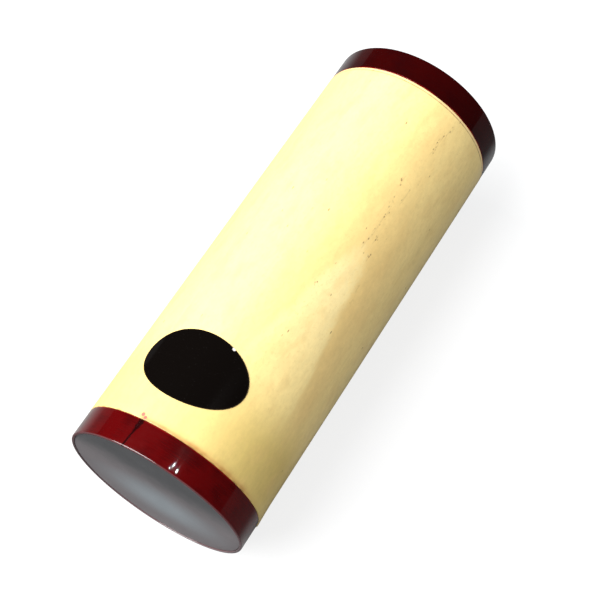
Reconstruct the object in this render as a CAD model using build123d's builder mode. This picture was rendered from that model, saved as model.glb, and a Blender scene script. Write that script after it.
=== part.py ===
from build123d import *
from math import asin, cos, degrees, radians, sin, sqrt
import os

os.makedirs("parts", exist_ok=True)

# A wooden tube shaker lying on its side.  X runs along the tube, from the near end (-X) to the far end
# (+X), and Z is up.  The origin is on the floor, under the middle of the tube.  Millimetres and degrees.
# Angles round the tube are measured from straight up towards +Y.

# Overall sizes
body_length = 158.6  # over the end edges of both hoops
tube_radius = 30.07  # outside of the pale veneer

# Laminated wall, from the outside in
veneer_wall = 0.97
cross_ply_wall = 1.2
inner_ply_wall = 1.2
glue_line = 0.05  # glue film between two layers
ply_joint = 0.12  # open width of a ply's butt joint
veneer_edge = 0.15  # chamfer on the veneer's end edges
veneer_joint_angle = 205.0
cross_ply_joint_angle = 325.0
inner_ply_joint_angle = 85.0

# Lacquered hoops round the ends
hoop_wall = 0.9
hoop_height = 9.4
hoop_gap = 0.1  # hoop to veneer, along the tube
hoop_outer_round = 0.4  # rounding of the end edge, outside
hoop_inner_round = 0.2  # rounding of the end edge, inside
hoop_joint = 0.2  # open width of a hoop's butt joint
hoop_joint_slant = -5.0  # lean of the joint from the tube's axis, anticlockwise seen from outside
near_joint_angle = 15.0
far_joint_angle = 150.0

# Sheet-metal heads, set in the hoops and bedded on the ends of the plies
head_thickness = 0.8
head_fit = 0.08  # radial clearance inside the hoop
head_recess = 0.3  # how far the hoop's end edge stands past the head
head_round = 0.15  # easing of the head's outer rim

# Oval label on the veneer
label_across = 35.2  # measured round the tube
label_along = 23.0
label_thickness = 0.12
label_from_end = 30.4  # from the near end to the middle of the label
label_angle = 7.8

# Loose steel shot, lying in rows along the lowest part of the bore
shot_diameter = 4.0
shot_gap = 0.2  # between neighbouring balls
shot_clearance = 0.3  # between the balls and the bore or the heads
bed_rows = 4  # rows that lie on the bore
top_count = 24  # balls in each row that lies on those

# Radii that follow, from the outside in
axis_height = tube_radius
veneer_inner = tube_radius - veneer_wall
core_radius = veneer_inner - glue_line
cross_ply_inner = core_radius - cross_ply_wall
inner_ply_radius = cross_ply_inner - glue_line
bore_radius = inner_ply_radius - inner_ply_wall
hoop_inner = core_radius + glue_line
hoop_radius = hoop_inner + hoop_wall
head_radius = hoop_inner - head_fit

# Places along the tube that follow, measured from its middle
half_length = body_length / 2
head_face = half_length - head_recess
chamber_half = head_face - head_thickness
core_half = chamber_half - glue_line
veneer_half = half_length - hoop_height - hoop_gap
hoop_middle = half_length - hoop_height / 2


def across(x):
    """The plane across the tube at x, facing the far end."""
    return Plane(origin=(x, 0, axis_height), x_dir=(0, 1, 0), z_dir=(1, 0, 0))


def outwards(x, angle, slant=0.0):
    """The plane through the tube's axis at x that faces outwards at an angle round the tube."""
    direction = (0, sin(radians(angle)), cos(radians(angle)))
    return Plane(origin=(x, 0, axis_height), x_dir=(1, 0, 0), z_dir=direction).rotated((0, 0, slant))


# --- Middle and inner plies: strips rolled into rings, each with a butt joint ---------------------------

for name, outer, inner, joint_angle in (
    ("cross_ply", core_radius, cross_ply_inner, cross_ply_joint_angle),
    ("inner_ply", inner_ply_radius, bore_radius, inner_ply_joint_angle),
):
    with BuildPart() as ply:
        with BuildSketch(across(0)):
            Circle(outer)
            Circle(inner, mode=Mode.SUBTRACT)
        extrude(amount=core_half, both=True)
        with BuildSketch(outwards(0, joint_angle)):
            Rectangle(body_length, ply_joint)
        extrude(amount=tube_radius, mode=Mode.SUBTRACT)
    ply.part.label = name
    export_step(ply.part, f"parts/{name}.step")

# --- Face veneer: the pale outer ply between the hoops, a hair proud of them -----------------------------

with BuildPart() as face_veneer:
    with BuildSketch(across(0)):
        Circle(tube_radius)
        Circle(veneer_inner, mode=Mode.SUBTRACT)
    extrude(amount=veneer_half, both=True)
    end_rims = face_veneer.edges().filter_by(GeomType.CIRCLE).filter_by(lambda rim: rim.radius == tube_radius)
    chamfer(end_rims, length=veneer_edge)
    with BuildSketch(outwards(0, veneer_joint_angle)):
        Rectangle(body_length, ply_joint)
    extrude(amount=tube_radius * 2, mode=Mode.SUBTRACT)
face_veneer.part.label = "face_veneer"
export_step(face_veneer.part, "parts/face_veneer.step")

# --- Hoops: lacquered strips bent round the ends, rounded at their outer edge ----------------------------

for name, end, joint_angle in (("near_hoop", -1, near_joint_angle), ("far_hoop", 1, far_joint_angle)):
    with BuildPart() as hoop:
        with BuildSketch(across(end * hoop_middle)):
            Circle(hoop_radius)
            Circle(hoop_inner, mode=Mode.SUBTRACT)
        extrude(amount=hoop_height / 2, both=True)
        end_rims = hoop.edges().sort_by(lambda rim: rim.center().X * end)[-2:].sort_by(SortBy.RADIUS)
        fillet(end_rims[1], radius=hoop_outer_round)
        fillet(end_rims[0], radius=hoop_inner_round)
        with BuildSketch(outwards(end * hoop_middle, joint_angle, hoop_joint_slant)):
            Rectangle(hoop_height * 2, hoop_joint)
        extrude(amount=tube_radius * 2, mode=Mode.SUBTRACT)
    hoop.part.label = name
    export_step(hoop.part, f"parts/{name}.step")

# --- Heads: flat metal discs that close the tube ----------------------------------------------------------

for name, end in (("near_head", -1), ("far_head", 1)):
    with BuildPart() as head:
        with BuildSketch(across(end * head_face)):
            Circle(head_radius)
        extrude(amount=-end * head_thickness)
        outer_rim = head.edges().sort_by(lambda rim: rim.center().X * end)[-1]
        fillet(outer_rim, radius=head_round)
    head.part.label = name
    export_step(head.part, f"parts/{name}.step")

# --- Label: a thin oval that follows the curve of the veneer ----------------------------------------------

label_x = label_from_end - half_length
label_back = tube_radius + glue_line
label_half_chord = label_back * sin(label_across / 2 / label_back)

with BuildPart() as label:
    with BuildSketch(across(label_x)):
        Circle(label_back + label_thickness)
        Circle(label_back, mode=Mode.SUBTRACT)
    extrude(amount=label_along, both=True)
    with BuildSketch(outwards(label_x, label_angle)):
        Ellipse(label_along / 2, label_half_chord)
    extrude(amount=tube_radius * 2, mode=Mode.INTERSECT)
label.part.label = "label"
export_step(label.part, "parts/label.step")

# --- Shot: the bed lies on the bore, and the upper rows lie in the grooves between its rows ---------------

pitch = shot_diameter + shot_gap
bed_radius = bore_radius - shot_clearance - shot_diameter / 2
row_step = 2 * asin(pitch / 2 / bed_radius)  # radians round the tube from one row to the next
stagger = pitch / 4  # every other row is shifted each way, so that the balls don't line up
row_room = 2 * (chamber_half - shot_clearance - stagger)
bed_count = int((row_room - shot_diameter) / pitch) + 1

groove_depth = sqrt(pitch**2 - (pitch / 2) ** 2)
top_radius = bed_radius * cos(row_step / 2) - groove_depth
top_row_spacing = 2 * top_radius * sin(row_step / 2)
top_pitch = 2 * sqrt(pitch**2 - top_row_spacing**2)

for name, rows, count, radius, spacing, shift in (
    ("shot_bed", bed_rows, bed_count, bed_radius, pitch, stagger),
    ("shot_top", bed_rows - 1, top_count, top_radius, top_pitch, top_pitch / 4),
):
    with BuildPart() as shot:
        for row in range(rows):
            swing = (row - (rows - 1) / 2) * row_step
            row_middle = (
                shift if row % 2 else -shift,
                radius * sin(swing),
                axis_height - radius * cos(swing),
            )
            with Locations(row_middle):
                with GridLocations(spacing, spacing, count, 1):
                    Sphere(shot_diameter / 2)
    shot.part.label = name
    export_step(shot.part, f"parts/{name}.step")

top_travel = chamber_half - shot_clearance - (top_count - 1) * top_pitch / 2 - top_pitch / 4 - shot_diameter / 2
print(f"bore radius {bore_radius:.2f}, hoop radius {hoop_radius:.2f}, chamber {2 * chamber_half:.1f} long")
print(f"upper shot runs {top_travel:.1f} either way, row step {degrees(row_step):.2f} degrees")
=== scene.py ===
import math

import bpy
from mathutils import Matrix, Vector


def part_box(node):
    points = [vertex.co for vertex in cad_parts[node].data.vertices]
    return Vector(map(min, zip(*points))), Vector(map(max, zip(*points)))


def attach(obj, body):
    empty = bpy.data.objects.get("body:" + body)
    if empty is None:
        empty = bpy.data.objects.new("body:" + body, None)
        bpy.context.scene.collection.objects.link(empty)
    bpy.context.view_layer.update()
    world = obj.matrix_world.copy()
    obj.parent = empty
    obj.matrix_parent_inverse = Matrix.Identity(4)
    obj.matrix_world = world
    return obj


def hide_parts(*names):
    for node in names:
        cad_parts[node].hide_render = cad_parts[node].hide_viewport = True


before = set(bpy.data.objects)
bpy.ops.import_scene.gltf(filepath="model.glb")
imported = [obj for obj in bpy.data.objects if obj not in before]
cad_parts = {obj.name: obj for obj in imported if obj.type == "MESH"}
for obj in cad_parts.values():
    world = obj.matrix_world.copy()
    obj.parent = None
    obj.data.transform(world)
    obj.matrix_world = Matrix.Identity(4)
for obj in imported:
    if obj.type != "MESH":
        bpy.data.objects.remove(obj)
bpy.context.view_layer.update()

bl_info = {
    "name": "Wooden Tube Shaker",
    "version": (1, 0, 0),
    "blender": (4, 5, 0),
    "location": "3D View > Sidebar > Shaker",
    "description": "Builds the visible pieces of a veneered tube shaker round its packed parts",
    "category": "Add Mesh",
}

# The tube lies along X with its near end at -X, and stands on the floor at Z 0. Angles round it are
# measured from straight up towards +Y. Places in the finishes are in millimetres.
MM = 0.001


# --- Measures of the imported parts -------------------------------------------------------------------

def middle_of(node):
    low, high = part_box(node)
    return (low + high) / 2


def radii_of(node):
    """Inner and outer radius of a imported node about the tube's axis."""
    reach = [math.hypot(v.co.y, v.co.z - AXIS_HEIGHT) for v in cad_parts[node].data.vertices]
    return min(reach), max(reach)


def length_of(node):
    low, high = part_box(node)
    return high.x - low.x


AXIS_HEIGHT = middle_of("near_head").z
CORE_RADIUS, TUBE_RADIUS = radii_of("face_veneer")
HOOP_INNER, HOOP_RADIUS = radii_of("near_hoop")
HEAD_RADIUS = radii_of("near_head")[1]
LABEL_INNER, LABEL_OUTER = radii_of("label")
VENEER_LENGTH = length_of("face_veneer")
HOOP_LENGTH = length_of("near_hoop")
HOOP_MIDDLE = middle_of("far_hoop").x
HEAD_THICKNESS = length_of("near_head")


# --- Settings ---------------------------------------------------------------------------------------

def colour_setting(name, description, default):
    return bpy.props.FloatVectorProperty(
        name=name, description=description, subtype="COLOR", size=3, min=0, max=1, default=default)


def length_setting(name, description, millimetres):
    return bpy.props.FloatProperty(
        name=name, description=description, unit="LENGTH", default=millimetres * MM)


def angle_setting(name, description, degrees):
    return bpy.props.FloatProperty(
        name=name, description=description, subtype="ANGLE", default=math.radians(degrees))


class VeneerSettings(bpy.types.PropertyGroup):
    cream: colour_setting("Cream", "Pale wood under its clear lacquer", (0.80, 0.61, 0.244))
    tan: colour_setting("Tan", "Darker growth bands", (0.67, 0.45, 0.163))
    pale: colour_setting("Pale figure", "Inside of the long pointed figure", (0.80, 0.67, 0.35))
    # Deep: soaked wood near the near end, laid on stronger on the tube's shaded side as painted shade
    deep: colour_setting("Deep", "Wood that the lacquer has soaked near the end", (0.62, 0.455, 0.135))
    pore: colour_setting("Pores", "Short dark pores", (0.19, 0.11, 0.035))
    amber: colour_setting("Amber stain", "Lacquer stain beside the near hoop", (0.42, 0.215, 0.055))
    speck: colour_setting("Specks", "Drops of thin red lacquer", (0.55, 0.06, 0.07))
    bare: colour_setting("Bare edge", "Unlacquered wood at the far edge", (0.78, 0.48, 0.32))
    joint_angle: angle_setting("Joint", "Where the butt joint lies", 205)
    joint_width: length_setting("Joint width", "Open width of the butt joint", 0.12)
    edge: length_setting("End edge", "Easing of the outer end edges", 0.15)
    lift: length_setting("Lifted edge", "How far the near edge stands off on the shaded side", 0.4)
    lift_angle: angle_setting("Lifted edge at", "Middle of the lifted stretch", -110)
    lift_reach: length_setting("Lifted reach", "How far the lift fades out in the veneer", 7)
    figure_tip: length_setting("Figure tip", "Point of the figure, from the tube's middle", 10)
    figure_angle: angle_setting("Figure at", "Middle of the figure", -33)


class HoopSettings(bpy.types.PropertyGroup):
    near_red: colour_setting("Near red", "Lacquer of the near hoop", (0.068, 0.0003, 0.0006))
    # Far red: the hoops' same red lacquer, painted darker on the far hoop as painted shade
    far_red_shaded: colour_setting("Far red", "Lacquer of the far hoop", (0.0225, 0.0001, 0.0001))
    thin_red: colour_setting("Thin lacquer", "Where the lacquer is thin", (0.22, 0.004, 0.004))
    # End edge: pale grey painted on the rounded end edge as a painted reflection, mostly on its lower
    # half
    end_edge_reflection: colour_setting("End edge", "Rubbed lacquer on the end edge", (0.115, 0.085, 0.09))
    pooled: colour_setting("Pooled lacquer", "Where the lacquer has pooled", (0.010, 0.0002, 0.0006))
    outer_round: length_setting("Outer rounding", "Rounding of the end edge, outside", 0.4)
    inner_round: length_setting("Inner rounding", "Rounding of the end edge, inside", 0.2)
    joint_width: length_setting("Joint width", "Open width of the butt joint", 0.06)
    joint_slant: angle_setting("Joint slant", "Lean of the joint from the tube's axis", 5)
    near_joint: angle_setting("Near joint", "Where the near hoop's joint lies", 15)
    far_joint: angle_setting("Far joint", "Where the far hoop's joint lies", 150)


class HeadSettings(bpy.types.PropertyGroup):
    # Grey: colour of the painted sheen, a bright oval painted across each head's middle
    grey: colour_setting("Grey", "Sheet metal where it is rubbed bright", (0.245, 0.268, 0.285))
    edge_grey: colour_setting("Edge grey", "Sheet metal near the rim", (0.17, 0.155, 0.160))
    # Dull grey: painted shade on each head's upper part
    shaded_grey: colour_setting("Dull grey", "Sheet metal where it is handled least", (0.086, 0.087, 0.09))
    rim: length_setting("Rim", "Easing of the outer rim", 0.15)
    dish: length_setting("Dish", "How far the middle is pressed in", 0.12)


class LabelSettings(bpy.types.PropertyGroup):
    black: colour_setting("Black", "Face of the sticker", (0.0022, 0.0015, 0.0012))
    worn: colour_setting("Worn edge", "Cut edge of the sticker", (0.035, 0.022, 0.012))
    nick: colour_setting("Nick", "Where the black has chipped off", (0.75, 0.70, 0.66))
    angle: angle_setting("Label at", "Middle of the label", 7.8)
    across: length_setting("Across", "Size of the label, measured round the tube", 35.2)
    ease: length_setting("Ease", "Easing of the cut edge", 0.02)


class InsideSettings(bpy.types.PropertyGroup):
    ply: colour_setting("Ply", "Bare wood of the inner plies", (0.62, 0.45, 0.26))
    ply_grain: colour_setting("Ply grain", "Darker grain of the inner plies", (0.38, 0.23, 0.11))
    steel: colour_setting("Steel", "Shot, where it is bright", (0.42, 0.42, 0.43))
    rubbed_steel: colour_setting("Rubbed steel", "Shot, where it is dulled", (0.20, 0.19, 0.19))


class StageSettings(bpy.types.PropertyGroup):
    floor: colour_setting("Floor", "Colour of the floor", (0.86, 0.86, 0.86))
    floor_glow: bpy.props.FloatProperty(
        name="Floor glow", description="Share of the floor's brightness that shadows don't darken",
        subtype="FACTOR", min=0, max=1, default=0.8)
    floor_bounce: bpy.props.FloatProperty(
        name="Floor bounce", description="Share of light that the floor throws back on the tube",
        subtype="FACTOR", min=0, max=1, default=0.27)
    mirrored_floor: bpy.props.FloatProperty(
        name="Mirrored floor", description="Brightness of the floor beside the tube in glossy surfaces",
        subtype="FACTOR", min=0, max=1, default=0.2)
    mirrored_rest: bpy.props.FloatProperty(
        name="Mirrored rest", description="Brightness of the rest of the floor in glossy surfaces",
        subtype="FACTOR", min=0, max=1, default=0.04)
    backdrop: colour_setting("Backdrop", "Colour of the surroundings in view", (0.9, 0.9, 0.9))
    backdrop_glow: bpy.props.FloatProperty(
        name="Backdrop glow", description="Strength of the backdrop's light and of the floor's glow",
        min=0, default=1.15)
    sky_colour: colour_setting("Surroundings colour", "Light from the room", (0.92, 0.96, 1.0))
    sky: bpy.props.FloatProperty(
        name="Surroundings", description="Light from the room above the floor", min=0, default=0.66)
    mirrored_colour: colour_setting("Mirrored colour", "The room in glossy surfaces", (0.96, 0.98, 1.0))
    mirrored_sky: bpy.props.FloatProperty(
        name="Mirrored room", description="Brightness of the room in glossy surfaces",
        min=0, default=0.015)
    key: bpy.props.FloatProperty(
        name="Key light", description="Strength of the key light", min=0, default=7.8)
    key_from: bpy.props.FloatVectorProperty(
        name="Key from", description="Direction that the key light comes from",
        subtype="DIRECTION", size=3, default=(-0.42, 0.54, 0.74))
    key_spread: angle_setting("Key spread", "Angular size of the key light", 56)
    lamp: bpy.props.FloatProperty(
        name="Small lamps", description="Power of each small lamp", unit="POWER", min=0, default=0.02)
    lamp_size: length_setting("Lamp size", "Diameter of each small lamp", 1.2)
    lamp_distance: length_setting("Lamp distance", "From the small lamps to the near hoop", 600)
    glint_angle: angle_setting("Glints at", "Where the small lamps glint on the near hoop", -14.6)
    azimuth: angle_setting("Camera azimuth", "Heading of the view, from +Y towards +X", 58.8)
    elevation: angle_setting("Camera elevation", "How steeply the view looks down", 62.83)
    distance: length_setting("Camera distance", "From the camera to the point it aims at", 448.3)
    lens: bpy.props.FloatProperty(
        name="Lens", description="Focal length in millimetres", unit="CAMERA", default=84.88)
    aim: bpy.props.FloatVectorProperty(
        name="Aim", description="Point that the camera aims at, from the middle of the tube",
        subtype="TRANSLATION", size=3, default=(-1.46 * MM, -2.68 * MM, -1.35 * MM))


# --- Shader maths -----------------------------------------------------------------------------------

class Wire:
    """An output socket of some shading nodes. Arithmetic on values adds Math nodes."""

    def __init__(self, nodes, socket):
        self.nodes = nodes
        self.socket = socket

    def math(self, operation, first, second=0.0):
        return self.nodes.make("ShaderNodeMath", {"operation": operation}, {0: first, 1: second})

    def __add__(self, other):
        return self.math("ADD", self, other)

    def __sub__(self, other):
        return self.math("SUBTRACT", self, other)

    def __mul__(self, other):
        return self.math("MULTIPLY", self, other)

    __radd__ = __add__
    __rmul__ = __mul__

    def __rsub__(self, other):
        return self.math("SUBTRACT", other, self)

    def __abs__(self):
        return self.math("ABSOLUTE", self)

    def root(self):
        return self.math("SQRT", self)

    def at_least(self, low):
        return self.math("MAXIMUM", self, low)

    def step(self, start, end):
        """Goes smoothly from 0 at start to 1 at end, whichever is the higher."""
        inputs = {"Value": self, "From Min": start, "From Max": end}
        return self.nodes.make("ShaderNodeMapRange", {"interpolation_type": "SMOOTHSTEP"}, inputs)


class Nodes:
    """The shading nodes of a material or a world."""

    def __init__(self, owner):
        owner.use_nodes = True
        self.tree = owner.node_tree

    def feed(self, socket, value):
        if isinstance(value, Wire):
            self.tree.links.new(value.socket, socket)
        elif socket.type == "RGBA":
            socket.default_value = tuple(value) + (1.0,)
        else:
            socket.default_value = value

    def make(self, kind, settings=None, inputs=None, output=0):
        """Add a node with its settings, then the values or links of its sockets.

        Gives the output that is asked for, or a list of all of them for None.
        """
        node = self.tree.nodes.new(kind)
        for name, value in (settings or {}).items():
            setattr(node, name, value)
        for key, value in (inputs or {}).items():
            self.feed(node.inputs[key], value)
        if output is None:
            return [Wire(self, socket) for socket in node.outputs]
        return Wire(self, node.outputs[output])

    def glow(self, kind, colour, strength):
        """A light-giving shader of one colour."""
        return self.make(kind, inputs={"Color": colour, "Strength": strength})

    def choose(self, factor, first, second):
        """A shader between two others."""
        return self.make("ShaderNodeMixShader", inputs={0: factor, 1: first, 2: second})

    def light_path(self, output):
        return self.make("ShaderNodeLightPath", output=output)


class Finish(Nodes):
    """A material in the making, on a Principled shader."""

    def __init__(self, name):
        self.material = bpy.data.materials.new(name)
        super().__init__(self.material)
        self.object_place = self.make("ShaderNodeTexCoord", output="Object")
        split = self.make("ShaderNodeSeparateXYZ", inputs={0: self.object_place}, output=None)
        self.x, self.y, self.z = (wire * (1 / MM) for wire in split)
        self.height = self.z - AXIS_HEIGHT / MM

    def mix(self, factor, first, second):
        """A colour between two others."""
        settings = {"data_type": "RGBA", "clamp_factor": True}
        return self.make("ShaderNodeMix", settings, {0: factor, 6: first, 7: second}, 2)

    def shade(self, colour, amount):
        """A colour made lighter or darker by a value about 1."""
        return self.make("ShaderNodeVectorMath", {"operation": "SCALE"}, {0: colour, "Scale": amount})

    def at(self, x, y, z=0.0):
        return self.make("ShaderNodeCombineXYZ", inputs={0: x, 1: y, 2: z})

    def noise(self, place, detail=2.0, roughness=0.5, scale=1.0):
        """Fractal noise about 0.5."""
        inputs = {"Vector": place, "Scale": scale, "Detail": detail, "Roughness": roughness}
        return self.make("ShaderNodeTexNoise", inputs=inputs)

    def cells(self, place):
        """Distance from the middle of each scattered cell, and a random number for the cell."""
        inputs = {"Vector": place, "Scale": 1.0}
        distance, lot = self.make("ShaderNodeTexVoronoi", inputs=inputs, output=None)[:2]
        return distance, self.make("ShaderNodeSeparateColor", inputs={0: lot})

    def around(self, middle):
        """Millimetres round the tube from straight up towards +Y, with its break opposite the middle."""
        ahead = self.y * math.sin(middle) + self.height * math.cos(middle)
        aside = self.y * math.cos(middle) - self.height * math.sin(middle)
        turn = aside.math("ARCTAN2", aside, ahead) + middle
        return turn * (TUBE_RADIUS / MM)

    def out(self):
        """Millimetres out from the tube's axis."""
        return (self.y * self.y + self.height * self.height).root()

    def bump(self, height, depth, strength=0.5, under=None):
        inputs = {"Height": height, "Distance": depth * MM, "Strength": strength}
        if under is not None:
            inputs["Normal"] = under
        return self.make("ShaderNodeBump", inputs=inputs)

    def done(self, sockets):
        """Set or link the shader's sockets, and give the material."""
        shader = self.tree.nodes["Principled BSDF"]
        for name, value in sockets.items():
            self.feed(shader.inputs[name], value)
        return self.material


# --- Finishes ---------------------------------------------------------------------------------------

# Streaks of dark pores on the veneer: place along the tube, angle in degrees, half-length and how dark
PORE_STREAKS = (
    (64.5, -39.8, 1.5, 0.8), (62.0, -38.6, 2.0, 0.8), (58.0, -37.0, 3.8, 1.0), (53.5, -36.4, 1.6, 0.7),
    (42.0, -41.0, 0.8, 0.6), (38.0, -31.0, 2.6, 0.9), (35.0, -38.2, 3.2, 1.0), (30.0, -33.0, 3.0, 0.5),
    (25.5, -34.4, 3.0, 0.9), (20.0, -34.0, 3.4, 0.7), (17.0, -37.5, 1.8, 0.8), (14.0, -33.6, 2.4, 0.8),
    (11.0, -40.0, 1.6, 0.8), (1.0, -45.5, 1.4, 1.0), (-3.5, -47.4, 1.1, 0.9), (-7.0, -22.7, 0.9, 1.0),
    (-7.0, -33.0, 0.7, 0.6),
)
# Share of a streak's darkness in the fine line that runs on past its pores
STREAK_LINE = 0.16
# Taper of the figure, whose width grows as the square root of the distance from its tip
FIGURE_TAPER = 0.39
# Specks of red lacquer dropped on the veneer beside the near hoop's joint: place, angle and radius
LACQUER_SPECKS = ((-68.4, 15.9, 0.62), (-69.0, 13.7, 0.50))
# Stretch of the veneer's near edge that is stained, in degrees
STAIN_FROM, STAIN_TO = -80.0, 15.0
# Painted shadow line where the veneer meets the bare strip at its far edge, in millimetres from that edge
EDGE_SHADOW_LINE = 0.95
# Nick in the label's edge: place, angle and radius
NICK = (-38.6, -6.0, 0.55)
# Oval patch of painted sheen on a head: its middle across and up from the axis, and its reach across and
# up
SHEEN_MIDDLE = (-1.0, -7.5)
SHEEN_REACH = (28.0, 16.0)


def arc(degrees):
    """Millimetres round the tube for an angle in degrees."""
    return math.radians(degrees) * TUBE_RADIUS / MM


def growth(f, look, x, around, aside):
    """Growth bands nested round a long pointed figure, with painted shade: their colour, a broad noise
    and a fine one.
    """
    tip = look.figure_tip / MM
    wander = f.noise(f.at(x * 0.02, around * 0.045), detail=3.0) - 0.5
    cloud = f.noise(f.at(x * 0.45, around * 0.65, 11.0), detail=4.0, roughness=0.7)
    strayed = aside + wander * 8.0
    # Negative inside the figure's outline, and growing outwards from it
    nest = strayed * strayed * FIGURE_TAPER + x - tip + wander * 10.0 + (cloud - 0.5) * 22.0
    ring = (nest + 90.0).at_least(0.0).root()
    bands = f.noise(f.at(ring * 1.6, x * 0.003), detail=3.0, roughness=0.5)
    broad = f.noise(f.at(x * 0.006, around * 0.05, 5.0))
    wood = f.mix((bands - 0.42) * 0.6 + (broad - 0.45) * 0.9, look.cream, look.tan)

    # A tan band round the figure's outline, partly wood colour and partly painted shade: it is painted
    # stronger on the shaded -Y side than on the lit side
    shaded_flank = nest.step(-6.0, 6.0) * nest.step(150.0, 25.0) * x.step(-62.0, -30.0)
    shaded_flank = shaded_flank * (x.step(48.0, 8.0) * 0.75 + 0.25) * (aside.step(10.0, -4.0) * 0.6 + 0.4)
    wood = f.mix(shaded_flank * 0.65, wood, look.tan)
    figure = nest.step(11.0, -11.0) * x.step(-52.0, 4.0)
    wood = f.mix(figure * 0.52, wood, look.pale)
    # The soaked tint near the near end is painted stronger on the shaded -Y side and weaker on the lit
    # side, as painted shade
    deep_on_shaded_side = aside.step(12.0, -12.0) * 0.65 + 0.45
    wood = f.mix(x.step(-38.0, -60.0) * (broad * 0.5 + 0.75) * deep_on_shaded_side, wood, look.deep)
    return wood, broad, cloud


def pore_marks(f, x, around, aside):
    """Dark pores, strewn thinly, crowded ahead of the figure and in streaks, and the fine ones."""
    dash, lot = f.cells(f.at(x * 0.45, around * 1.5))
    lane = abs(aside + 1.0).step(7.0, 2.0) * x.step(-16.0, 6.0)
    crowd = f.noise(f.at(x * 0.09, around * 0.4, 3.0), detail=1.0).step(0.48, 0.60)
    pores = dash.step(0.34, 0.14) * (lot + lane * crowd * 0.10).step(0.992, 0.998)
    fine_dash, fine_lot = f.cells(f.at(x * 0.8, around * 5.0, 7.0))
    fine = fine_dash.step(0.42, 0.18) * (fine_lot + lane * 0.10).step(0.93, 1.0)

    dots, dot_lot = f.cells(f.at(x * 0.8, around * 1.5, 9.0))
    broken = dots.step(0.46, 0.14) * dot_lot.step(0.05, 0.4)
    crooked = around + (f.noise(f.at(x * 0.3, around * 0.1, 6.0)) - 0.5) * 1.6
    for place, degrees, reach, dark in PORE_STREAKS:
        along = (x - place) * (1 / reach)
        beside = crooked - arc(degrees)
        streak = (along * along + beside * beside * 1.6).step(1.1, 0.6)
        line = abs(beside).step(0.3, 0.05) * abs(along).step(1.3, 0.7) * STREAK_LINE
        pores = pores.math("MAXIMUM", pores, (streak * broken + line) * dark)
    return pores, fine


def end_marks(f, look, wood, x, around):
    """Stain, dirt and lacquer specks at the near edge, and a bare strip with a painted shadow line at the
    far one.
    """
    half = VENEER_LENGTH / 2 / MM
    from_near, from_far = x + half, half - x
    soak = f.noise(f.at(x * 0.2, around * 0.16, 3.0)).step(0.40, 0.66)
    stained = (around - arc(STAIN_TO)).step(2.0, -1.0) * (around - arc(STAIN_FROM)).step(0.0, 20.0)
    stain = from_near.step(3.2, 0.0) * (soak * 0.6 + 0.4) * stained
    wood = f.mix(stain * 0.9, wood, look.amber)
    wood = f.mix(from_near.step(1.5, 0.5) * (soak * 0.45 + 0.5) * stained, wood, look.amber)
    patchy = f.noise(f.at(x, around * 0.5, 9.0)).step(0.40, 0.72)
    wood = f.mix(from_near.step(0.5, 0.1) * patchy * 0.6, wood, look.pore)
    wood = f.mix(from_far.step(EDGE_SHADOW_LINE, 0.8) * 0.25, wood, look.bare)
    # A painted shadow line where the veneer stops short of the bare strip
    edge_shadow = abs(from_far - EDGE_SHADOW_LINE).step(0.24, 0.08)
    wood = f.mix(edge_shadow * (0.45 + patchy * 0.4), wood, look.pore)
    for place, degrees, radius in LACQUER_SPECKS:
        along, beside = x - place, around - arc(degrees)
        speck = (along * along + beside * beside).root().step(radius * 1.3, radius * 0.7)
        wood = f.mix(speck * 0.85, wood, look.speck)
    return wood


def veneer_finish(look):
    """Pale lacquered veneer: growth bands with painted shade, fine fibres, a few dark pores and marks at
    both ends.
    """
    f = Finish("lacquered_veneer")
    x, around, outer = f.x, f.around(look.joint_angle - math.pi), TUBE_RADIUS / MM
    aside = around - look.figure_angle * outer
    wood, broad, cloud = growth(f, look, x, around, aside)
    pores, fine = pore_marks(f, x, around, aside)
    wood = f.mix(pores * 0.95, wood, look.pore)
    wood = f.mix(fine * 0.2, wood, look.tan)
    flecks = f.noise(f.at(x * 0.9, around * 1.3, 4.0), detail=2.0, roughness=0.6).step(0.54, 0.70)
    wood = f.mix(flecks * (broad * 0.5 + 0.05), wood, look.tan)
    blotches = f.noise(f.at(x * 0.09, around * 0.2, 8.0), detail=2.0).step(0.48, 0.68)
    wood = f.mix(blotches * 0.3, wood, look.tan)
    wood = end_marks(f, look, wood, x, around)
    wood = f.mix(f.out().step(outer - 0.4, outer - 0.6), wood, look.bare)

    fibres = f.noise(f.at(x * 0.07, around * 5.5), detail=3.0, roughness=0.65)
    mottle = f.noise(f.at(x * 0.14, around * 0.26), detail=3.0)
    tone = 1.0 + (fibres - 0.5) * 0.10 + (mottle - 0.5) * 0.16 + (cloud - 0.5) * 0.26
    normal = f.bump(fibres * 0.6 - pores * 1.2 + mottle * 0.2, 0.02)
    normal = f.bump(f.noise(f.at(x * 0.12, around * 0.22, 2.0)), 0.06, 0.4, normal)
    return f.done({
        "Base Color": f.shade(wood, tone),
        "Roughness": 0.38 + (fibres - 0.5) * 0.12 + pores * 0.25,
        "Normal": normal,
        "IOR": 1.48,
        "Coat Weight": 0.4,
        "Coat Roughness": 0.18,
    })


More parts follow.
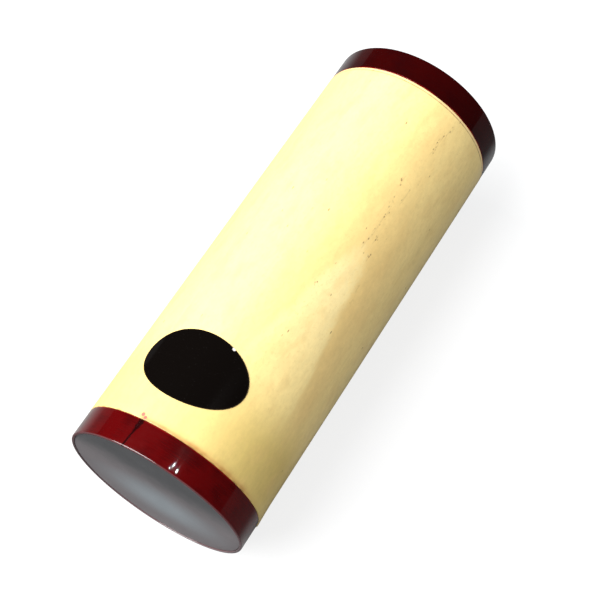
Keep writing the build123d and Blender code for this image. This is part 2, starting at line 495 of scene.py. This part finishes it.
def lacquer_finish(name, look, red, joint_angle, end):
    """Deep red lacquer on a bent strip: thin at the edges, pooled in the joint, and not quite flat."""
    f = Finish(name)
    x, around = f.x, f.around(joint_angle - math.pi)
    along = x * end
    by_veneer = along - (HOOP_MIDDLE - HOOP_LENGTH / 2) / MM
    by_end = (HOOP_MIDDLE + HOOP_LENGTH / 2) / MM - along
    lean = (x - end * HOOP_MIDDLE / MM) * math.tan(look.joint_slant)
    off_joint = f.around(joint_angle) - joint_angle * TUBE_RADIUS / MM + lean

    grain = f.noise(f.at(x * 2.2, around * 0.10), detail=3.0, roughness=0.6)
    cloud = f.noise(f.at(x * 0.12, around * 0.10, 4.0))
    colour = f.mix((cloud - 0.46) * 2.2 + (grain - 0.5) * 1.0, red, look.pooled)
    patchy = f.noise(f.at(x, around * 0.12, 2.0)).step(0.3, 0.6)
    colour = f.mix(by_veneer.step(0.5, 0.1) * patchy * 0.7, colour, look.thin_red)
    # The end edge is painted pale grey on the tube's lower half as a painted reflection, and less so on
    # top
    painted_sheen = 0.96 - f.height.step(-6.0, 14.0) * 0.6
    colour = f.mix(by_end.step(0.45, 0.1) * painted_sheen, colour, look.end_edge_reflection)
    ragged = f.noise(f.at(x * 0.9, around * 0.5, 6.0), detail=3.0)
    pooled = (abs(off_joint) - ragged * by_veneer.step(6.0, 2.0) * 1.1 - ragged * 0.7).step(0.2, -0.3)
    colour = f.mix(pooled * 0.92, colour, look.pooled)

    nibs = f.cells(f.at(x * 0.45, around * 0.45, 5.0))[0].step(0.16, 0.02)
    peel = f.noise(f.at(x * 0.5, around * 0.5, 1.0))
    wave = f.noise(f.at(x * 0.16, around * 0.10, 8.0), detail=1.0)
    normal = f.bump(peel + nibs * 0.35 + pooled * 0.5, 0.03)
    normal = f.bump(wave, 0.25, 0.4, normal)
    return f.done({
        "Base Color": colour,
        "Roughness": 0.24 + (ragged - 0.5) * 0.12,
        "Normal": normal,
        "Specular IOR Level": 0.1,
        "Coat Weight": 1.0,
        "Coat Roughness": 0.02,
    })


def metal_finish(look):
    """Satin grey sheet: rolling lines across it, faint mottling and a few fine scratches."""
    f = Finish("satin_sheet_metal")
    rolled = f.noise(f.at(f.y * 0.05, f.z * 4.5), detail=3.0, roughness=0.6)
    mottle = f.noise(f.at(f.y * 0.11, f.z * 0.11, f.x), detail=4.0, roughness=0.55)
    fine = f.noise(f.at(f.y * 2.2, f.z * 2.2), detail=3.0, roughness=0.7)
    # A bright oval across each head's middle is painted sheen, a painted reflection
    wide = (f.y - SHEEN_MIDDLE[0]) * (1 / SHEEN_REACH[0])
    tall = (f.height - SHEEN_MIDDLE[1]) * (1 / SHEEN_REACH[1])
    painted_sheen = ((wide * wide + tall * tall).root() + (mottle - 0.5) * 0.5).step(1.0, 0.1)
    # Painted shade: the grey darkens towards the top of the head
    top_shade = (f.height + (mottle - 0.5) * 14.0).step(2.0, 18.0)
    metal = f.mix(painted_sheen, f.mix(top_shade, look.edge_grey, look.shaded_grey), look.grey)
    tone = 1.0 + (mottle - 0.5) * 0.3 + (rolled - 0.5) * 0.14 + (fine - 0.5) * 0.14
    crossing = f.noise(f.at(f.y * 0.9 + f.z * 0.5, f.z * 9.0 - f.y * 4.0), detail=1.0)
    scratch = abs(crossing - 0.5).step(0.006, 0.0) * mottle.step(0.5, 0.62)
    return f.done({
        "Base Color": f.shade(metal, tone),
        "Roughness": 0.42 + (mottle - 0.5) * 0.2 + (fine - 0.5) * 0.1,
        "Normal": f.bump(rolled * 0.4 + fine * 0.3 - scratch * 0.5, 0.02),
        "Metallic": 0.35,
    })


def label_finish(look):
    """Glossy black sticker, a little worn at its cut edge, with one pale nick."""
    f = Finish("glossy_black_label")
    x, around = f.x, f.around(look.angle)
    middle, half = middle_of("label").x / MM, length_of("label") / 2 / MM
    along = (x - middle) * (1 / half)
    beside = (around - look.angle * TUBE_RADIUS / MM) * (2 * MM / look.across)
    worn = f.noise(f.at(x * 1.4, around * 1.4), detail=3.0)
    reach = (along * along + beside * beside).root() + (worn - 0.5) * 0.02
    colour = f.mix(reach.step(0.972, 0.998) * 0.5, look.black, look.worn)
    place, degrees, radius = NICK
    down, over = x - place, around - arc(degrees)
    chipped = ((down * down + over * over).root() + (worn - 0.5) * 0.8).step(radius * 1.2, radius * 0.6)
    colour = f.mix(chipped, colour, look.nick)
    dust = f.cells(f.at(x * 1.3, around * 1.3))[0].step(0.07, 0.02)
    colour = f.mix(dust * 0.05, colour, look.nick)
    peel = f.noise(f.at(x * 0.7, around * 0.7))
    return f.done({
        "Base Color": colour,
        "Roughness": 0.10 + (worn - 0.5) * 0.06 + dust * 0.3 + chipped * 0.4,
        "Normal": f.bump(peel + worn * 0.1, 0.02),
        "IOR": 1.5,
    })


def ply_finish(look):
    """Bare brown ply with its grain along the tube."""
    f = Finish("bare_ply")
    around = f.around(0.0)
    grain = f.noise(f.at(f.x * 0.03, around * 1.6, f.out()), detail=4.0, roughness=0.6)
    fibre = f.noise(f.at(f.x * 0.3, around * 9.0, f.out()))
    return f.done({
        "Base Color": f.mix((grain - 0.3) * 1.8, look.ply, look.ply_grain),
        "Roughness": 0.62 + (fibre - 0.5) * 0.2,
        "Normal": f.bump(grain + fibre * 0.5, 0.05),
    })


def shot_finish(look):
    """Steel balls, dulled by rubbing."""
    f = Finish("rubbed_steel_shot")
    rub = f.noise(f.object_place, detail=3.0, scale=900.0)
    scuff = f.noise(f.object_place, scale=4000.0)
    return f.done({
        "Base Color": f.mix((rub - 0.35) * 1.6, look.steel, look.rubbed_steel),
        "Roughness": 0.28 + (rub - 0.5) * 0.3,
        "Normal": f.bump(scuff, 0.01),
        "Metallic": 1.0,
    })


def floor_finish(look):
    """Pale card that glows, so that shadows stay light, and that throws back little light itself."""
    f = Finish("pale_card")
    tone = 1.0 + (f.noise(f.object_place, detail=3.0, scale=6.0) - 0.5) * 0.03
    f.done({"Base Color": f.shade(look.floor, tone), "Roughness": 0.75})
    card = Wire(f, f.tree.nodes["Principled BSDF"].outputs[0])
    seen = f.choose(look.floor_glow, card, f.glow("ShaderNodeEmission", look.floor, look.backdrop_glow))
    bounced = f.make("ShaderNodeBsdfDiffuse", inputs={"Color": [look.floor_bounce] * 3})
    # Glossy surfaces see the floor bright beside the tube and dim everywhere else
    by_tube = f.y.step(-66.0, -36.0) * f.y.step(200.0, 20.0) * f.x.step(-84.0, -74.0)
    shine = f.mix(by_tube, [look.mirrored_rest] * 3, [look.mirrored_floor] * 3)
    mirrored = f.make("ShaderNodeBsdfDiffuse", inputs={"Color": shine})
    unseen = f.choose(f.light_path("Is Glossy Ray"), bounced, mirrored)
    surface = f.choose(f.light_path("Is Camera Ray"), unseen, seen)
    f.feed(f.tree.nodes["Material Output"].inputs["Surface"], surface)
    return f.material


# --- Mesh work --------------------------------------------------------------------------------------

# Distance within which points of a mesh count as one place
SAME_PLACE = 0.001 * MM


def only(obj):
    """Leave one object selected and active."""
    bpy.ops.object.select_all(action="DESELECT")
    obj.select_set(True)
    bpy.context.view_layer.objects.active = obj


def begin(name, primitive, **settings):
    """Add a primitive under a name and go into edit mode with all of it selected."""
    bpy.ops.object.select_all(action="DESELECT")
    primitive(**settings)
    obj = bpy.context.object
    obj.name = obj.data.name = name
    bpy.ops.object.mode_set(mode="EDIT")
    bpy.ops.mesh.select_all(action="SELECT")
    return obj


def pick(obj, kind, test):
    """In edit mode, select the vertices, edges or faces whose middle passes a test."""
    bpy.ops.mesh.select_mode(type=kind)
    bpy.ops.mesh.select_all(action="DESELECT")
    bpy.ops.object.mode_set(mode="OBJECT")
    points = [vertex.co.copy() for vertex in obj.data.vertices]
    items = {"VERT": obj.data.vertices, "EDGE": obj.data.edges, "FACE": obj.data.polygons}[kind]
    for item in items:
        corners = [item.index] if kind == "VERT" else item.vertices
        middle = sum((points[corner] for corner in corners), Vector()) / len(corners)
        item.select = test(middle)
    bpy.ops.object.mode_set(mode="EDIT")


def apply(obj, kind, **settings):
    """Add a modifier with its settings and apply it."""
    only(obj)
    modifier = obj.modifiers.new(kind.title(), kind)
    for name, value in settings.items():
        setattr(modifier, name, value)
    bpy.ops.object.modifier_apply(modifier=modifier.name)


def face_out():
    """In edit mode, merge doubles and turn every face outwards."""
    bpy.ops.mesh.select_all(action="SELECT")
    bpy.ops.mesh.remove_doubles(threshold=SAME_PLACE)
    bpy.ops.mesh.normals_make_consistent(inside=False)


def put(obj, turn, x):
    """Turn a piece about the tube's axis and carry it to its place, fixed in its mesh."""
    only(obj)
    obj.rotation_euler.x = -turn
    obj.location = (x, 0.0, AXIS_HEIGHT)
    bpy.ops.object.transform_apply(location=True, rotation=True, scale=True)


def finish_piece(obj, node, material, smooth_under=32):
    """Smooth and check a piece, then give it its material, slot and body, and hide the node that it
    stands for.
    """
    only(obj)
    bpy.ops.object.shade_smooth_by_angle(angle=math.radians(smooth_under))
    bpy.ops.object.mode_set(mode="EDIT")
    bpy.ops.mesh.select_mode(type="VERT")
    bpy.ops.mesh.select_all(action="DESELECT")
    bpy.ops.mesh.select_non_manifold()
    bpy.ops.object.mode_set(mode="OBJECT")
    if any(vertex.select for vertex in obj.data.vertices):
        raise RuntimeError(f"{obj.name} isn't closed")
    obj.data.materials.clear()
    obj.data.materials.append(material)
    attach(obj, "tube")
    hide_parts(node)


def bend_strip(name, length, inner, outer, gap, rounds, cuts, steps):
    """Spin a strip's rounded cross-section round the X axis until its ends nearly meet on top.

    rounds holds (end, side, radius) for each rounded corner: end is -1 or 1 along X, side is -1 for the
    inside and 1 for the outside.
    """
    wall = outer - inner
    strip = begin(name, bpy.ops.mesh.primitive_plane_add, size=1)
    bpy.ops.transform.resize(value=(length, wall, 1))
    bpy.ops.transform.rotate(value=math.pi / 2, orient_axis="X", center_override=(0, 0, 0))
    pick(strip, "EDGE", lambda middle: abs(middle.x) < length * 0.01)
    bpy.ops.mesh.subdivide(number_cuts=cuts)
    for end, side, radius in rounds:
        corner = Vector((end * length / 2, 0, side * wall / 2))
        pick(strip, "VERT", lambda middle: (middle - corner).length < wall * 0.01)
        bpy.ops.mesh.bevel(offset=radius, segments=6, affect="VERTICES")
    bpy.ops.mesh.select_all(action="SELECT")
    bpy.ops.transform.translate(value=(0, 0, inner + wall / 2))
    opening = gap / outer
    bpy.ops.transform.rotate(value=opening / 2, orient_axis="X", center_override=(0, 0, 0))
    bpy.ops.mesh.spin(steps=steps, angle=math.tau - opening, center=(0, 0, 0), axis=(1, 0, 0))
    face_out()
    bpy.ops.object.mode_set(mode="OBJECT")
    return strip


# --- Pieces -----------------------------------------------------------------------------------------

class SHAKER_OT_veneer(bpy.types.Operator):
    """Bend the pale veneer round the tube, with one edge a little lifted"""

    bl_idname = "shaker.veneer"
    bl_label = "Face Veneer"

    def execute(self, context):
        look = context.scene.shaker_veneer
        rounds = [(end, 1, look.edge) for end in (-1, 1)]
        veneer = bend_strip("veneer_wrap", VENEER_LENGTH, CORE_RADIUS, TUBE_RADIUS,
                            look.joint_width, rounds, cuts=40, steps=240)
        put(veneer, look.joint_angle, 0.0)
        outwards = Vector((0, math.sin(look.lift_angle), math.cos(look.lift_angle)))
        edge = Vector((-VENEER_LENGTH / 2, 0, AXIS_HEIGHT)) + outwards * TUBE_RADIUS
        pulled = 1.2 * MM
        only(veneer)
        bpy.ops.object.mode_set(mode="EDIT")
        pick(veneer, "VERT", lambda middle: (middle - edge).length < pulled)
        bpy.ops.transform.translate(
            value=outwards * look.lift, use_proportional_edit=True,
            proportional_size=look.lift_reach, proportional_edit_falloff="SMOOTH")
        context.scene.tool_settings.use_proportional_edit = False
        bpy.ops.object.mode_set(mode="OBJECT")
        finish_piece(veneer, "face_veneer", veneer_finish(look))
        return {"FINISHED"}


class SHAKER_OT_hoops(bpy.types.Operator):
    """Bend the two lacquered hoops, each with a slanted butt joint"""

    bl_idname = "shaker.hoops"
    bl_label = "End Hoops"

    def execute(self, context):
        look = context.scene.shaker_hoops
        twist = math.tan(look.joint_slant) * HOOP_LENGTH / HOOP_RADIUS
        for end, name, red, joint in ((-1, "near", look.near_red, look.near_joint),
                                      (1, "far", look.far_red_shaded, look.far_joint)):
            rounds = [(end, 1, look.outer_round), (end, -1, look.inner_round)]
            rounds.append((-end, 1, look.inner_round / 2))
            hoop = bend_strip(name + "_hoop_band", HOOP_LENGTH, HOOP_INNER, HOOP_RADIUS,
                              look.joint_width, rounds, cuts=8, steps=256)
            apply(hoop, "SIMPLE_DEFORM", deform_method="TWIST", deform_axis="X", angle=twist)
            put(hoop, joint, end * HOOP_MIDDLE)
            material = lacquer_finish(name + "_red_lacquer", look, red, joint, end)
            finish_piece(hoop, name + "_hoop", material)
        return {"FINISHED"}


class SHAKER_OT_heads(bpy.types.Operator):
    """Cut and press the two sheet-metal heads"""

    bl_idname = "shaker.heads"
    bl_label = "Metal Heads"

    def execute(self, context):
        look = context.scene.shaker_heads
        material = metal_finish(look)
        for end, name in ((-1, "near"), (1, "far")):
            face = end * HEAD_THICKNESS / 2
            head = begin(name + "_head_disc", bpy.ops.mesh.primitive_circle_add, vertices=160,
                         radius=HEAD_RADIUS, fill_type="NGON", location=(-face, 0, 0),
                         rotation=(0, math.pi / 2, 0))
            bpy.ops.mesh.extrude_region_move(TRANSFORM_OT_translate={"value": (2 * face, 0, 0)})
            bpy.ops.object.mode_set(mode="OBJECT")
            bpy.ops.object.transform_apply(location=True, rotation=True, scale=True)
            bpy.ops.object.mode_set(mode="EDIT")
            pick(head, "EDGE", lambda middle: abs(middle.x - face) < look.rim / 10)
            bpy.ops.mesh.bevel(offset=look.rim, segments=4, affect="EDGES")
            pick(head, "FACE", lambda middle: (middle - Vector((face, 0, 0))).length < look.rim)
            rings = 10
            for ring in range(rings):
                bpy.ops.mesh.inset(thickness=HEAD_RADIUS / (rings + 1))
                pressed = look.dish * 2 * (rings - ring) / (rings * (rings + 1))
                bpy.ops.transform.translate(value=(-end * pressed, 0, 0))
            face_out()
            bpy.ops.object.mode_set(mode="OBJECT")
            put(head, 0.0, middle_of(name + "_head").x)
            finish_piece(head, name + "_head", material, smooth_under=40)
        return {"FINISHED"}


class SHAKER_OT_label(bpy.types.Operator):
    """Cut the oval label and lay it on the veneer"""

    bl_idname = "shaker.label"
    bl_label = "Oval Label"

    def execute(self, context):
        look = context.scene.shaker_label
        label = begin("label_patch", bpy.ops.mesh.primitive_circle_add, vertices=96, radius=0.5,
                      fill_type="NOTHING", rotation=(math.pi / 2, 0, 0))
        bpy.ops.transform.resize(value=(length_of("label"), 1, look.across))
        loops = 12
        for loop in range(loops, 1, -1):
            shrink = (loop - 1) / loop
            bpy.ops.mesh.extrude_edges_move(TRANSFORM_OT_translate={"value": (0, 0, 0)})
            bpy.ops.transform.resize(value=(shrink, 1, shrink), center_override=(0, 0, 0))
        bpy.ops.mesh.edge_face_add()
        bpy.ops.mesh.poke()
        bpy.ops.object.mode_set(mode="OBJECT")
        bpy.ops.object.transform_apply(location=True, rotation=True, scale=True)
        apply(label, "SIMPLE_DEFORM", deform_method="BEND", deform_axis="X",
              angle=look.across / LABEL_INNER)
        # A flat sheet has no outside, so its faces are turned outwards once it is bent
        bpy.ops.object.mode_set(mode="EDIT")
        face_out()
        bpy.ops.object.mode_set(mode="OBJECT")
        label.location.y = -LABEL_INNER
        bpy.ops.object.transform_apply(location=True, rotation=False, scale=False)
        put(label, math.pi / 2 + look.angle, middle_of("label").x)
        apply(label, "SOLIDIFY", thickness=LABEL_OUTER - LABEL_INNER, offset=1.0)
        apply(label, "BEVEL", width=look.ease, segments=1, limit_method="ANGLE",
              angle_limit=math.radians(60))
        finish_piece(label, "label", label_finish(look), smooth_under=30)
        return {"FINISHED"}


class SHAKER_OT_inside(bpy.types.Operator):
    """Give the plies and the steel shot inside the tube their finishes"""

    bl_idname = "shaker.inside"
    bl_label = "Plies and Shot"

    def execute(self, context):
        look = context.scene.shaker_inside
        finishes = {
            ("cross_ply", "inner_ply"): ply_finish(look),
            ("shot_bed", "shot_top"): shot_finish(look),
        }
        for names, material in finishes.items():
            for name in names:
                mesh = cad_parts[name].data
                mesh.materials.clear()
                mesh.materials.append(material)
        return {"FINISHED"}


# Side of the floor, in metres
FLOOR_SIZE = 60.0
# Where the first small lamp glints: share of the near hoop's length from its middle towards its end
GLINT_PLACE = 0.22
# Places of the small lamps about the first one, in millimetres along the tube and towards +Y
LAMP_PLACES = ((0, 0), (-6, 20), (3, -70))


class SHAKER_OT_stage(bpy.types.Operator):
    """Lay the pale floor and set up the lights, the surroundings and the camera"""

    bl_idname = "shaker.stage"
    bl_label = "Stage"

    def execute(self, context):
        look = context.scene.shaker_stage
        bpy.ops.object.select_all(action="DESELECT")
        bpy.ops.mesh.primitive_plane_add(size=FLOOR_SIZE)
        floor = context.object
        floor.name = "floor"
        floor.data.materials.append(floor_finish(look))

        towards_key = Vector(look.key_from).normalized()
        bpy.ops.object.light_add(type="SUN", rotation=(-towards_key).to_track_quat("-Z", "Y").to_euler())
        key = context.object.data
        key.energy, key.angle = look.key, look.key_spread
        level = math.cos(look.elevation)
        heading = Vector((math.sin(look.azimuth) * level, math.cos(look.azimuth) * level,
                          -math.sin(look.elevation)))
        aim = Vector((0, 0, AXIS_HEIGHT)) + Vector(look.aim)
        eye = aim - heading * look.distance
        bpy.ops.object.camera_add(location=eye, rotation=heading.to_track_quat("-Z", "Y").to_euler())
        camera = context.object
        camera.data.lens = look.lens
        camera.data.clip_start = 10 * MM
        context.scene.camera = camera
        context.scene.view_settings.view_transform = "Standard"

        # Small lamps whose glints fall on the near hoop
        outwards = Vector((0, math.sin(look.glint_angle), math.cos(look.glint_angle)))
        glint_x = -HOOP_MIDDLE - HOOP_LENGTH * GLINT_PLACE
        glint = Vector((glint_x, 0, AXIS_HEIGHT)) + outwards * HOOP_RADIUS
        towards_lamps = -(eye - glint).normalized().reflect(outwards)
        for along, across in LAMP_PLACES:
            lamp_at = glint + towards_lamps * look.lamp_distance + Vector((along, across, 0)) * MM
            towards_hoop = (-towards_lamps).to_track_quat("-Z", "Y").to_euler()
            bpy.ops.object.light_add(type="AREA", location=lamp_at, rotation=towards_hoop)
            lamp = context.object.data
            lamp.shape, lamp.size, lamp.energy = "DISK", look.lamp_size, look.lamp

        room = bpy.data.worlds.new("room")
        context.scene.world = room
        nodes = Nodes(room)
        backdrop = nodes.glow("ShaderNodeBackground", look.backdrop, look.backdrop_glow)
        mirrored = nodes.glow("ShaderNodeBackground", look.mirrored_colour, look.mirrored_sky)
        lighting = nodes.glow("ShaderNodeBackground", look.sky_colour, look.sky)
        unseen = nodes.choose(nodes.light_path("Is Diffuse Ray"), mirrored, lighting)
        surface = nodes.choose(nodes.light_path("Is Camera Ray"), unseen, backdrop)
        nodes.feed(nodes.tree.nodes["World Output"].inputs["Surface"], surface)
        return {"FINISHED"}


class VIEW3D_PT_shaker(bpy.types.Panel):
    """Lists the pieces of the shaker and their settings"""

    bl_label = "Tube Shaker"
    bl_space_type = "VIEW_3D"
    bl_region_type = "UI"
    bl_category = "Shaker"

    def draw(self, context):
        for operator in OPERATORS:
            self.layout.operator(operator.bl_idname)
        for name, group in SETTINGS.items():
            box = self.layout.box()
            for setting in group.__annotations__:
                box.prop(getattr(context.scene, name), setting)


OPERATORS = (SHAKER_OT_stage, SHAKER_OT_veneer, SHAKER_OT_hoops, SHAKER_OT_heads, SHAKER_OT_label,
             SHAKER_OT_inside)
SETTINGS = {
    "shaker_veneer": VeneerSettings,
    "shaker_hoops": HoopSettings,
    "shaker_heads": HeadSettings,
    "shaker_label": LabelSettings,
    "shaker_inside": InsideSettings,
    "shaker_stage": StageSettings,
}


def register():
    for name, group in SETTINGS.items():
        bpy.utils.register_class(group)
        setattr(bpy.types.Scene, name, bpy.props.PointerProperty(type=group))
    for operator in OPERATORS:
        bpy.utils.register_class(operator)
    bpy.utils.register_class(VIEW3D_PT_shaker)


def unregister():
    bpy.utils.unregister_class(VIEW3D_PT_shaker)
    for operator in reversed(OPERATORS):
        bpy.utils.unregister_class(operator)
    for name, group in SETTINGS.items():
        delattr(bpy.types.Scene, name)
        bpy.utils.unregister_class(group)


def main():
    register()
    bpy.ops.shaker.stage()
    bpy.ops.shaker.veneer()
    bpy.ops.shaker.hoops()
    bpy.ops.shaker.heads()
    bpy.ops.shaker.label()
    bpy.ops.shaker.inside()


if __name__ == "__main__":
    main()
